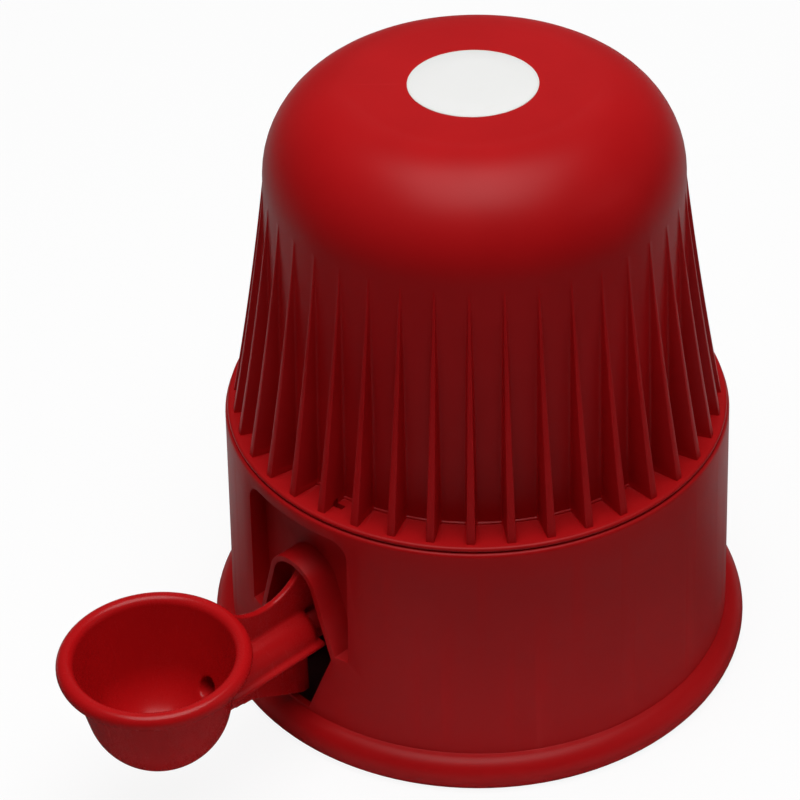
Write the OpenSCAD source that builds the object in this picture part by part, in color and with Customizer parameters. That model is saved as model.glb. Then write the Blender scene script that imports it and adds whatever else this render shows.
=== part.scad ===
// Gravity-fed drinking fountain for poultry and small animals: a finned tank stands on a
// round base, and one cup on an arm hangs out of an arched opening in the base's side.
// Origin: centre of the foot, on the ground. +Z is up, and the cup reaches towards -Y.

/* [Base] */
// Outer radius of the base's wall at its top
skirt_top_r = 105; // [85:1:130]
// Height of the base's top face, on which the tank sits
skirt_h = 117.3; // [100:0.5:145]
// How much wider the wall is at the ground than at the top
skirt_flare = 3.5; // [1:0.5:8]
// Wall thickness of the base
base_wall = 2.6; // [2:0.1:3.5]
// Radius of the rolled bead that the base stands on
foot_bead_r = 8.5; // [6.5:0.5:11]
// Height of the foot bead's centre above the ground
foot_bead_z = 6; // [4:0.5:7]
// Width of the ledge that carries the tank
ledge_w = 21; // [18:0.5:26]
// Thickness of the ledge
ledge_t = 3; // [2.4:0.1:4]

/* [Pocket and arch] */
// Width of the pocket around the arm
pocket_w = 58; // [50:1:66]
// Depth of the pocket's flat back behind the top of the wall
pocket_depth = 11.5; // [8:0.5:15]
// Height of the pocket's shelf above the ground
pocket_z = 51; // [44:1:56]
// Corner radius at the pocket's top
pocket_corner_r = 8; // [4:0.5:12]
// Wall thickness of the arched hood over the arm
hood_t = 2.5; // [2:0.1:3.5]
// Radius of the arch's round top
arch_r = 11.5; // [9:0.5:13]
// Height of the arch's top above the ground
arch_z = 87.5; // [82:0.5:100]
// Widest half width of the arched opening
arch_half_w = 20.7; // [18:0.1:23]
// Height at which the opening is widest
arch_wide_z = 48.5; // [44:0.5:52]
// Half width of the opening at its foot
arch_foot_half_w = 8; // [5:0.5:12]
// Height of the opening's foot above the ground
arch_foot_z = 16; // [15.5:0.5:20]

/* [Tank] */
// Height of the tank above its flange's underside
tank_h = 148.4; // [120:1:180]
// How far the flange's rim stays inside the top of the base's wall
flange_inset = 1; // [0.5:0.25:3]
// Thickness of the flange
flange_t = 2.2; // [1.8:0.1:3]
// Wall thickness of the tank
tank_wall = 2.6; // [2:0.1:3.2]
// How far the tank's wall leans in from the flange to the shoulder
wall_draft = 5.6; // [2:0.1:9]
// Radius of the round shoulder under the crown
shoulder_r = 38.5; // [20:0.5:45]
// Height and width of the small bead round the wall's foot
wall_bead = 1.2; // [0.6:0.1:2]

/* [Fins] */
// Number of fins round the tank
fin_count = 40; // [24:4:48]
// Depth of a fin at the flange
fin_depth = 12.6; // [8:0.2:13.5]
// Thickness of a fin at the flange
fin_t = 3.5; // [2.5:0.1:4]
// Thickness of a fin at its top end
fin_top_t = 1.2; // [0.8:0.1:2]
// How far the fins' foot stays inside the flange's rim
fin_inset = 2.5; // [1.5:0.25:4]
// How far below the fins' straight line their edge bows in
fin_bow = 0.7; // [0:0.1:1.5]
// Angle of the first fin from the cup's direction
fin_phase = -1.1; // [-4.5:0.1:4.5]

/* [Locating keys] */
// Number of keys under the flange
key_count = 4; // [3:1:6]
// Angle of the first key from the cup's direction
key_angle = 10; // [5:0.5:15]
// Width of a key
key_w = 10; // [6:0.5:14]
// Thickness of a key
key_t = 3; // [2:0.1:4]
// How far a key reaches below the flange
key_len = 4; // [2.5:0.1:4.5]
// Width of the small slot in the flange beside a key
key_slot_w = 4.4; // [3:0.2:6]
// Depth of that slot, along the radius
key_slot_d = 2.6; // [1.5:0.1:3]
// Distance from the flange's rim to a key's outer face
key_inset = 5.4; // [4.5:0.1:7]

/* [Label] */
// Diameter of the bare round label on the crown
label_d = 51; // [30:1:60]
// Thickness of the label
label_t = 0.3; // [0.2:0.05:0.5]

/* [Cup] */
// Distance from the top of the base's wall to the cup's axis
cup_offset = 72.5; // [64:0.5:90]
// Outer radius of the cup's rolled rim
cup_r = 38.5; // [35:0.5:42]
// Height of the cup's rim above the ground
cup_rim_z = 86; // [80:0.5:90]
// Radius of the rolled rim's section
rim_bead_r = 3.5; // [2.5:0.1:4]
// Outer radius of the round bowl
bowl_r = 29; // [26:0.5:31]
// Height of the bowl's centre above the ground
bowl_z = 62.5; // [58:0.5:66]
// Wall thickness of the cup
cup_wall = 2.5; // [2:0.1:3]

/* [Arm] */
// Height of the arm's water passage above the ground
arm_z = 51.5; // [50:0.5:53]
// Outer radius of the arm's tube
arm_r = 11; // [10:0.5:12]
// Thickness of the upright webs above and below the tube
web_t = 3; // [2:0.1:4]
// Radius of the finger hollow in the upper web
web_hollow_r = 24.5; // [18:0.5:26]
// Distance from the cup's axis to the hollow's centre
web_hollow_back = 56.5; // [52:0.5:60]
// Half width of the side wings
wing_half_w = 13.5; // [12.5:0.1:16]
// Thickness of the side wings
wing_t = 2; // [1.5:0.1:3]
// Height of the lower web's foot above the ground
web_foot_z = 18; // [17.5:0.5:24]
// Radius of the water passage through the arm
passage_r = 4.25; // [3.5:0.05:4.5]
// Length of the socket that slides over the spigot
socket_len = 21; // [16:0.5:26]

/* [Well] */
// Inner radius of the water well
well_r = 44; // [40:0.5:50]
// Wall thickness of the well
well_wall = 2.5; // [2:0.1:3]
// Height of the water level, set by the valve's mouth
water_z = 72; // [68:0.5:76]
// Height of the well's rim above the water level
well_freeboard = 18; // [12:0.5:22]
// Outer radius of the spigot
spigot_r = 7; // [6.5:0.1:7.5]
// Wall left between the spigot's bore and the groove of its seal
spigot_skin = 1.05; // [0.8:0.05:1.5]
// Section radius of the seal ring on the spigot
seal_r = 0.95; // [0.8:0.05:1.1]
// Number of screws that hold the well
screw_count = 4; // [4:4:8]
// Shank radius of a screw
screw_r = 1.6; // [1.4:0.1:2]
// Length of a screw's shank
screw_len = 12; // [9:0.5:16]

/* [Neck and valve] */
// Outer radius of the tank's neck
neck_r = 23; // [21:0.5:25]
// Wall thickness of the neck
neck_wall = 2.5; // [2:0.1:3]
// Wall thickness of the valve cap
cap_wall = 2.8; // [2.2:0.1:3.2]
// Number of bayonet lugs
lug_count = 3; // [3:1:4]
// Angle that each lug spans
lug_span = 38; // [25:1:42]
// Radius of the valve's seat opening
seat_r = 8; // [6:0.5:9]
// Radius of the valve's rubber disc
disc_r = 12; // [10.5:0.5:13]
// Travel of the valve
valve_lift = 4; // [2.5:0.5:5]
// Radius of the valve's stem
stem_r = 2.5; // [2:0.1:3]
// Mean radius of the valve spring
spring_r = 5; // [4.2:0.1:6]
// Radius of the spring's wire
wire_r = 0.5; // [0.4:0.05:0.6]
// Turns of the spring
spring_turns = 6; // [4:1:8]

/* [Clearances] */
// Gap between faces of pieces that lift or slide apart
rest_gap = 0.3; // [0.2:0.05:0.5]
// Gap round a piece that slides in a socket or a slot
slide_gap = 0.35; // [0.3:0.05:0.5]
// Radial gap of a seal or a guided stem
guide_gap = 0.1; // [0.08:0.01:0.2]

/* [Hidden] */
$fn = 96;

fit = 0.05;                                   // face to face parts of one body
over = 1;                                     // how far a cut runs past what it cuts
slope = skirt_flare / skirt_h;                // lean of the base's wall
function wall_r_at(z) = skirt_top_r + slope * (skirt_h - z);

// Base
foot_bead_c = wall_r_at(foot_bead_z + foot_bead_r) - 0.6;
ledge_r = skirt_top_r - ledge_w;
pocket_u = skirt_top_r - pocket_depth;
pocket_top_z = skirt_h - ledge_t - base_wall;
back_foot_z = arm_z + spigot_r + 7;           // the pocket's back is open below this
past_wall = wall_r_at(0) + foot_bead_r + over;

// Tank
flange_r = skirt_top_r - flange_inset;
flange_z = skirt_h + rest_gap;
flange_top_z = flange_z + flange_t;
fin_tip_r = flange_r - fin_inset;
tank_r = fin_tip_r - fin_depth;
crown_z = flange_z + tank_h;
shoulder_z = crown_z - shoulder_r;
tank_top_r = tank_r - wall_draft;
shoulder_c = tank_top_r - shoulder_r;
key_r = flange_r - key_inset - key_t;

// Tank floor and neck
floor_t = 2.6;
floor_z = flange_z + 0.6;
floor_r = tank_r - tank_wall - fit;
shelf_w = 1.2;                                // step in the wall that the floor is welded to
neck_in_r = neck_r - neck_wall;

// Valve cap, from its mouth upwards
mouth_len = 4;
plate_t = 3;
plate_z = water_z + mouth_len;
plate_top_z = plate_z + plate_t;
gasket_t = 2.5;
neck_z = plate_top_z + gasket_t + rest_gap;
lug_d = 2.3;
lug_t = 3;
lug_z = neck_z + 10;
hook_z = lug_z + lug_t + rest_gap;
cap_in_r = neck_r + lug_d + 0.5;
cap_r = cap_in_r + cap_wall;
cap_top_z = hook_z + lug_t;
guide_r = neck_in_r - 1;
guide_hub_z = plate_top_z + 25;
guide_hub_t = 2.5;
seat_h = 1.5;
seat_z = plate_top_z + seat_h;

// Valve stem at rest, held open by the post in the well
disc_t = 3;
disc_z = seat_z + rest_gap + valve_lift;
stem_flange_t = 1.5;
stem_foot_z = water_z - 10;
stem_top_z = guide_hub_z + guide_hub_t + 3.5;
clip_t = 0.9;

// Well
sump_drop = 0.5;                              // the well's floor is this far below the spigot
well_floor_z = arm_z - spigot_r - sump_drop;
well_foot_z = well_floor_z - well_wall;
deck_z = water_z + well_freeboard;
deck_t = well_wall;
screw_ring_r = ledge_r + 5.5;
boss_r = 4.5;
ear_r = 6;
deck_r = ledge_r;
socket_r = spigot_r + slide_gap;
spigot_end_u = skirt_top_r + 13;
groove_r = socket_r - guide_gap - 2 * seal_r - 0.05;
groove_half = seal_r + 0.2;
spigot_bore_r = groove_r - spigot_skin;
seal_u = spigot_end_u - 6;

// Cup and arm
cup_u = skirt_top_r + cup_offset;
arm_end_u = pocket_u + 7.5;
web_end_u = pocket_u + 3;
bowl_in_r = bowl_r - cup_wall;
rim_c = cup_r - rim_bead_r;
rim_z = cup_rim_z - rim_bead_r;
web_top_z = arch_z - 1;
arm_bevel = 3;                                // bevel round the arm's inner end
web_hollow = [cup_u - web_hollow_back, rim_z + 16.2];
bowl_foot_z = bowl_z - bowl_r;
web_bend = [cup_u - 46.5, bowl_foot_z - 2.2]; // the lower web's edge, from its bend
web_flat = [cup_u - 35.5, bowl_foot_z - 0.4]; // to its flatter run
web_tail = [cup_u - 12, bowl_foot_z + 0.6];   // and its end under the bowl

// ---- helpers ----

// Extrude a shape, drawn across the cup's direction with its y upwards, from u0 out to u1.
module outward(u0, u1) {
    translate([0, -u0, 0]) rotate([90, 0, 0]) linear_extrude(u1 - u0) children();
}

// Stand a shape, drawn with x outwards and y upwards, in the middle plane, t thick.
module upright(t) {
    rotate([90, 0, -90]) translate([0, 0, -t / 2]) linear_extrude(t) children();
}

// A round bar that lies along the cup's direction at the arm's height.
module bar(u0, u1, r0, r1) {
    translate([0, -u0, arm_z]) rotate([90, 0, 0]) cylinder(h = u1 - u0, r1 = r0, r2 = r1);
}

// Copy children round the axis, the first at this angle from the cup's direction.
module around(count, first = 0) {
    for (i = [0:count - 1]) rotate(first - 90 + i * 360 / count) children();
}

// A flat ring with its foot at height z.
module ring(z, h, r_out, r_in) {
    translate([0, 0, z]) difference() {
        cylinder(h = h, r = r_out);
        translate([0, 0, -over]) cylinder(h = h + 2 * over, r = r_in);
    }
}

// A piece of a ring that spans an angle, centred on the +X axis.
module ring_piece(z, h, r_out, r_in, span) {
    rotate(-span / 2) rotate_extrude(angle = span)
        translate([r_in, z]) square([r_out - r_in, h]);
}

// ---- base ----

// The arched opening, grown by o: a round top, legs that spread and a narrowing foot.
module arch_2d(o = 0) {
    c = arch_z - arch_r;
    leg = [arch_half_w, arch_wide_z - c];
    turn = atan2(leg[1], leg[0]) + acos(arch_r / norm(leg));
    wide = [arch_half_w, arch_wide_z] + o * [cos(turn), sin(turn)];
    foot = [arch_foot_half_w + o, arch_foot_z];
    steps = 24;
    round_top = [for (i = [0:steps]) let (a = turn + (180 - 2 * turn) * i / steps)
                 (arch_r + o) * [cos(a), sin(a)] + [0, c]];
    polygon(concat([foot, wide], round_top, [[-wide[0], wide[1]], [-foot[0], foot[1]]]));
}

// The pocket's outline, grown by o.
module pocket_2d(o = 0) {
    h = pocket_top_z - pocket_z;
    r = pocket_corner_r;
    for (s = [-1, 1]) translate([s * (pocket_w / 2 - r), pocket_top_z - r]) circle(r = r + o);
    translate([-pocket_w / 2 - o, pocket_z - o]) square([pocket_w + 2 * o, h - r + o]);
    translate([-pocket_w / 2 + r, pocket_top_z - r]) square([pocket_w - 2 * r, r + o]);
}

// Everything inside the base's outer surface.
module base_solid() {
    edge = 1.6;
    rotate_extrude($fn = 180) {
        polygon([[0, 0], [wall_r_at(0), 0], [wall_r_at(skirt_h - edge), skirt_h - edge],
                 [skirt_top_r - edge, skirt_h], [0, skirt_h]]);
        translate([skirt_top_r - edge, skirt_h - edge]) circle(r = edge);
        intersection() {
            translate([foot_bead_c, foot_bead_z]) circle(r = foot_bead_r);
            translate([foot_bead_c, 0]) square([foot_bead_r, 4 * foot_bead_r]);
        }
    }
}

// The hollow of the base, open downwards and through the ledge.
module base_hollow() {
    roof_z = skirt_h - ledge_t;
    bead_in = foot_bead_r - base_wall;
    rotate_extrude($fn = 180) {
        polygon([[0, -over], [wall_r_at(0) - base_wall, -over],
                 [wall_r_at(roof_z) - base_wall, roof_z], [0, roof_z]]);
        translate([foot_bead_c, foot_bead_z]) circle(r = bead_in);
        translate([0, -over]) square([foot_bead_c + bead_in * 0.6, foot_bead_z + over]);
        square([ledge_r, skirt_h + over]);
    }
}

module base_skirt() color("firebrick") {
    boss_z = deck_z + deck_t;
    difference() {
        union() {
            difference() {
                union() {
                    difference() {
                        base_solid();
                        base_hollow();
                    }
                    intersection() {
                        base_solid();
                        outward(pocket_u - base_wall, past_wall) pocket_2d(base_wall);
                    }
                }
                outward(pocket_u, past_wall) pocket_2d();
            }
            intersection() {
                base_solid();
                outward(pocket_u - fit, past_wall) arch_2d(hood_t);
                outward(0, past_wall) translate([-pocket_w / 2, pocket_z - base_wall])
                    square([pocket_w, arch_z]);
            }
            around(screw_count, 45) translate([screw_ring_r, 0, boss_z])
                cylinder(h = skirt_h - ledge_t - boss_z + fit, r = boss_r);
        }
        outward(pocket_u, past_wall) arch_2d();
        intersection() {
            outward(ledge_r, pocket_u + over) arch_2d();
            outward(0, past_wall) translate([-pocket_w / 2, 0]) square([pocket_w, back_foot_z]);
        }
        around(screw_count, 45) translate([screw_ring_r, 0, boss_z - over])
            cylinder(h = screw_len + over, r = screw_r + fit);
        around(key_count, key_angle)
            translate([key_r - slide_gap, -key_w / 2 - slide_gap, flange_z - key_len - slide_gap])
            cube([key_t + 2 * slide_gap, key_w + 2 * slide_gap, key_len + over]);
    }
}

module water_well() color("indianred") {
    inner_end = well_r - over;
    rib_t = 2.5;
    post_z = stem_foot_z - rest_gap;
    difference() {
        union() {
            ring(well_foot_z, deck_z + deck_t - well_foot_z, well_r + well_wall, well_r);
            translate([0, 0, well_foot_z]) cylinder(h = well_wall, r = well_r + well_wall);
            ring(deck_z, deck_t, deck_r, well_r);
            around(screw_count, 45) {
                translate([screw_ring_r, 0, deck_z]) cylinder(h = deck_t, r = ear_r);
                rotate([90, 0, 0]) translate([0, 0, -rib_t / 2]) linear_extrude(rib_t)
                    polygon([[well_r + fit, deck_z - 25], [well_r + fit, deck_z + fit],
                             [deck_r - 6, deck_z + fit], [deck_r - 6, deck_z - 3]]);
            }
            bar(well_r + fit, spigot_end_u - 1.5, spigot_r, spigot_r);
            bar(spigot_end_u - 1.5 - fit, spigot_end_u, spigot_r, spigot_r - 1);
            upright(rib_t) polygon([[well_r + fit, well_foot_z], [well_r + fit, arm_z],
                                    [pocket_u - 8, arm_z], [pocket_u - 8, arm_z - spigot_r]]);
            translate([0, 0, well_floor_z - fit]) cylinder(h = post_z - well_floor_z, r = stem_r + 0.5);
            translate([0, 0, well_floor_z - fit]) cylinder(h = 5, r1 = stem_r + 5, r2 = stem_r + 0.5);
        }
        bar(inner_end, spigot_end_u + over, spigot_bore_r, spigot_bore_r);
        difference() {
            bar(seal_u - groove_half, seal_u + groove_half, spigot_r + over, spigot_r + over);
            bar(seal_u - spigot_r, seal_u + spigot_r, groove_r, groove_r);
        }
        around(screw_count, 45) translate([screw_ring_r, 0, deck_z - over])
            cylinder(h = deck_t + 2 * over, r = screw_r + 0.5);
    }
}

module well_screws() color("silver") {
    head_r = 3.8;
    head_h = 2.4;
    cross = 1.1;
    around(screw_count, 45) translate([screw_ring_r, 0, deck_z - head_h]) difference() {
        union() {
            cylinder(h = head_h, r1 = head_r - 0.8, r2 = head_r);
            cylinder(h = head_h + deck_t + screw_len - 1, r = screw_r);
        }
        for (a = [0, 90]) rotate(a) translate([-2.2, -cross / 2, -over]) cube([4.4, cross, over + 1.4]);
    }
}

module outlet_seal() color("dimgray")
    translate([0, -seal_u, arm_z]) rotate([90, 0, 0]) rotate_extrude()
        translate([groove_r + seal_r + fit, 0]) circle(r = seal_r, $fn = 32);

// ---- tank ----

// Outline of the tank's bell, shrunk by in: a leaning wall, a round shoulder and a flat crown.
module bell_2d(in = 0) {
    r = shoulder_r - in;
    polygon([[0, flange_z], [tank_r - in, flange_z], [tank_top_r - in, shoulder_z],
             [shoulder_c, shoulder_z], [shoulder_c, crown_z - in], [0, crown_z - in]]);
    intersection() {
        translate([shoulder_c, shoulder_z]) circle(r = r);
        translate([shoulder_c, shoulder_z]) square(r);
    }
}

// One fin: its side outline and its tapering front outline cross each other.
module fin() {
    root = tank_top_r - tank_wall / 2;
    mid = [(fin_tip_r + tank_top_r) / 2 - fin_bow, (flange_top_z + shoulder_z) / 2];
    foot_z = flange_z + flange_t / 3;
    foot_r = fin_tip_r + (fin_tip_r - mid[0]) * (flange_top_z - foot_z) / (mid[1] - flange_top_z);
    top_z = shoulder_z + over;
    intersection() {
        rotate([90, 0, 0]) translate([0, 0, -fin_t]) linear_extrude(2 * fin_t)
            polygon([[root, foot_z], [foot_r, foot_z], mid, [tank_top_r, top_z], [root, top_z]]);
        rotate([90, 0, 90]) linear_extrude(fin_tip_r + 2 * over)
            polygon([[-fin_t / 2, foot_z - over], [fin_t / 2, foot_z - over],
                     [fin_top_t / 2, top_z + over], [-fin_top_t / 2, top_z + over]]);
    }
}

module reservoir_shell() color("firebrick") {
    edge = flange_t / 2;
    shelf_z = floor_z + floor_t + fit;
    difference() {
        union() {
            rotate_extrude($fn = 180) {
                bell_2d();
                translate([0, flange_z]) square([flange_r - edge, flange_t]);
                translate([flange_r - edge, flange_z + edge]) circle(r = edge);
                translate([0, flange_top_z - fit]) square([tank_r + wall_bead / 2, wall_bead]);
            }
            around(fin_count, fin_phase) fin();
            around(key_count, key_angle) translate([key_r, -key_w / 2, flange_z - key_len])
                cube([key_t, key_w, key_len + fit]);
        }
        rotate_extrude($fn = 180) difference() {
            union() {
                bell_2d(tank_wall);
                translate([0, flange_z - over]) square([tank_r - tank_wall, shelf_z - flange_z + over]);
            }
            translate([tank_r - tank_wall - shelf_w, shelf_z]) square([shelf_w + over, shelf_w]);
        }
        around(key_count, key_angle)
            translate([key_r - key_slot_d, -key_slot_w / 2, flange_z - over])
            cube([key_slot_d, key_slot_w, flange_t + 2 * over]);
    }
}

module reservoir_floor() color("brown") {
    difference() {
        union() {
            translate([0, 0, floor_z]) cylinder(h = floor_t, r = floor_r);
            translate([0, 0, neck_z]) cylinder(h = floor_z - neck_z + fit, r = neck_r);
            translate([0, 0, floor_z - 6]) cylinder(h = 6 + fit, r1 = neck_r - fit, r2 = neck_r + 6);
            around(lug_count) ring_piece(lug_z, lug_t, neck_r + lug_d, neck_r - 1, lug_span);
        }
        translate([0, 0, neck_z - over]) cylinder(h = tank_h, r = neck_in_r);
    }
}

module label_disc() color("white")
    translate([0, 0, crown_z]) cylinder(h = label_t, d = label_d);

// ---- valve cap ----

module valve_cap() color("brown") {
    grip_count = 24;
    difference() {
        union() {
            ring(plate_z, cap_top_z - plate_z, cap_r, cap_in_r);
            translate([0, 0, plate_z]) cylinder(h = plate_t, r = cap_r);
            translate([0, 0, water_z]) cylinder(h = mouth_len + fit, r = seat_r + 2.5);
            translate([0, 0, plate_z]) cylinder(h = plate_t + seat_h, r = seat_r + 2);
            ring(plate_top_z - fit, seat_h + fit, neck_in_r - 0.2, guide_r + fit);
            around(lug_count) ring_piece(hook_z, lug_t, cap_in_r + over, neck_r + slide_gap, lug_span);
            around(grip_count) translate([cap_r, 0, plate_z + 2])
                cylinder(h = cap_top_z - plate_z - 2, r = 0.9, $fn = 24);
        }
        translate([0, 0, water_z - over]) cylinder(h = tank_h, r = seat_r);
    }
}

module cap_gasket() color("dimgray")
    ring(plate_top_z, gasket_t, cap_in_r - 0.4, neck_in_r + 0.1);

module valve_guide() color("whitesmoke") {
    leg_count = 3;
    window_count = 6;
    ring(plate_top_z, seat_h, guide_r, guide_r - 4);
    around(leg_count, 30) translate([guide_r - 3.4, -2, plate_top_z])
        cube([3, 4, guide_hub_z - plate_top_z + fit]);
    difference() {
        union() {
            translate([0, 0, guide_hub_z]) cylinder(h = guide_hub_t, r = guide_r);
            translate([0, 0, guide_hub_z]) cylinder(h = guide_hub_t + 2, r = stem_r + 2.5);
        }
        translate([0, 0, guide_hub_z - over]) cylinder(h = tank_h, r = stem_r + guide_gap);
        around(window_count) translate([(stem_r + 2.5 + guide_r) / 2, 0, guide_hub_z - over])
            cylinder(h = guide_hub_t + 2 * over, r = 4);
    }
}

// ---- valve ----

module valve_stem() color("whitesmoke") {
    translate([0, 0, stem_foot_z]) cylinder(h = stem_top_z - stem_foot_z, r = stem_r);
    translate([0, 0, disc_z + disc_t]) cylinder(h = stem_flange_t, r = disc_r - 3);
}

module valve_disc() color("dimgray") ring(disc_z, disc_t, disc_r, stem_r + fit);

module disc_clip() color("silver") ring(disc_z - clip_t, clip_t, stem_r + 2, stem_r + fit);

// The spring's wire, swept along its helix with one face for every step and side.
module valve_spring() color("lightgray") {
    foot = disc_z + disc_t + stem_flange_t + wire_r + fit;
    top = guide_hub_z - wire_r - fit;
    steps = 16;
    sides = 8;
    count = spring_turns * steps;
    points = [for (i = [0:count], j = [0:sides - 1])
        let (a = 360 * i / steps, b = 360 * j / sides, r = spring_r + wire_r * cos(b))
        [r * cos(a), r * sin(a), foot + (top - foot) * i / count + wire_r * sin(b)]];
    walls = [for (i = [0:count - 1], j = [0:sides - 1])
        let (k = (j + 1) % sides, p = i * sides)
        [p + j, p + j + sides, p + k + sides, p + k]];
    ends = [[for (j = [0:sides - 1]) j], [for (j = [sides - 1:-1:0]) count * sides + j]];
    polyhedron(points, concat(walls, ends));
}

// ---- cup ----

// Where a line from a rim point touches the round bowl of radius r, seen from the bowl's centre.
function touch(rim_x, r) =
    let (p = [rim_x, rim_z - bowl_z], a = atan2(p[1], p[0]) - acos(r / norm(p)))
    [r * cos(a), bowl_z + r * sin(a)];

// A round-bottomed outline of radius r whose side leans out to a rim point.
module cup_2d(r, rim_x) {
    side = touch(rim_x, r);
    intersection() {
        translate([0, bowl_z]) circle(r = r);
        translate([0, bowl_z - r]) square([r, side[1] - bowl_z + r]);
    }
    polygon([[0, side[1] - over], [side[0], side[1] - fit], side, [rim_x, rim_z], [0, rim_z]]);
}

// The bowl's outer outline with its rolled rim.
module bowl_2d() {
    cup_2d(bowl_r, rim_c - 1);
    translate([rim_c, rim_z]) circle(r = rim_bead_r);
}

// The space inside the bowl, open at the top.
module bowl_space_2d() {
    rim_in = rim_c - rim_bead_r;
    cup_2d(bowl_in_r, rim_in);
    translate([0, rim_z - fit]) square([rim_in, rim_bead_r + 2 * over]);
}

module drinking_cup() color("red") {
    past_end = arm_end_u - over;
    tube_u = arm_end_u + arm_bevel;
    inside_u = cup_u - bowl_in_r + 3;
    foot_w = 4;
    difference() {
        union() {
            translate([0, -cup_u, 0]) rotate_extrude() bowl_2d();
            bar(arm_end_u, tube_u + fit, arm_r - arm_bevel + 0.8, arm_r);
            bar(tube_u, inside_u, arm_r, arm_r);
            translate([-wing_half_w, -inside_u, arm_z - wing_t])
                cube([2 * wing_half_w, inside_u - arm_end_u, wing_t]);
            upright(web_t) difference() {
                polygon([[web_end_u, arm_z + arm_r - 1], [web_end_u, web_top_z],
                         [web_hollow[0], web_top_z], [web_hollow[0], rim_z],
                         [cup_u - rim_c, rim_z], [cup_u - rim_c + 3, arm_z],
                         [tube_u, arm_z], [tube_u, arm_z + arm_r - 1]]);
                translate(web_hollow) circle(r = web_hollow_r);
            }
            upright(web_t) polygon([[arm_end_u, arm_z - arm_r + 2], [arm_end_u, web_foot_z],
                                    [arm_end_u + foot_w, web_foot_z], web_bend, web_flat, web_tail,
                                    [web_tail[0], arm_z - arm_r + 1], [arm_end_u + 8, arm_z]]);
        }
        translate([0, -cup_u, 0]) rotate_extrude() bowl_space_2d();
        bar(past_end, arm_end_u + socket_len, socket_r, socket_r);
        bar(past_end, cup_u - bowl_in_r / 2, passage_r, passage_r);
    }
}

base_skirt();
water_well();
well_screws();
outlet_seal();
reservoir_shell();
reservoir_floor();
label_disc();
valve_cap();
cap_gasket();
valve_guide();
valve_stem();
valve_disc();
disc_clip();
valve_spring();
drinking_cup();
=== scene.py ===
"""A gravity-fed drinking fountain for poultry and small animals, dressed for rendering.

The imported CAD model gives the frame: its bodies, joints and nodes. The classes below build the
pieces whose moulded shape shows, dress every piece in its finish, and set up the studio.
"""
import logging
import math
from dataclasses import dataclass
from enum import Enum
from typing import Any, ClassVar, Iterable, Sequence, Union

import bmesh
import bpy
from mathutils import Matrix, Vector


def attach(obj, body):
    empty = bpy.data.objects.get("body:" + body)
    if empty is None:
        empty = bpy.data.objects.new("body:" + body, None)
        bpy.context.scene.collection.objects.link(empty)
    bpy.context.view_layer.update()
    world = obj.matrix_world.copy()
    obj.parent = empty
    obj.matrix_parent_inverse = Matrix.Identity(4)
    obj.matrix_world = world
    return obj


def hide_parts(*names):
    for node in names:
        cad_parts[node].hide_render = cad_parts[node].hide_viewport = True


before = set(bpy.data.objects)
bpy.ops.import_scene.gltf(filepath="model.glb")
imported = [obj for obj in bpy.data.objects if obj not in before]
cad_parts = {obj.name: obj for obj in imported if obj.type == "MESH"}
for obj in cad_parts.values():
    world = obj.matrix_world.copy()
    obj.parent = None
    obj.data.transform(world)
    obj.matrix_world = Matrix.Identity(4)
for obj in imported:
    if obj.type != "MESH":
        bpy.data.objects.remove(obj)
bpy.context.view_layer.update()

MM = 0.001
TAU = 2 * math.pi
QUARTER = math.pi / 2
LOG = logging.getLogger("fount")

Number = Union[int, float]
Colour = tuple[float, float, float]
Point = tuple[float, float, float]
Step = tuple[float, float]


class Body(Enum):
    """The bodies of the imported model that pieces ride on."""

    BASE = "base"
    TANK = "tank"
    CAP = "cap"
    VALVE = "valve"
    CUP = "cup"


class Slot(Enum):
    """The record's material slots, passed along with new pieces but not read."""

    BASE = "base_plastic"
    TANK = "tank_plastic"
    CUP = "cup_plastic"
    WELL = "well_plastic"
    VALVE = "valve_plastic"
    SEAL = "seal_rubber"
    LABEL = "label_film"


# ---- node graphs ----


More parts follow.
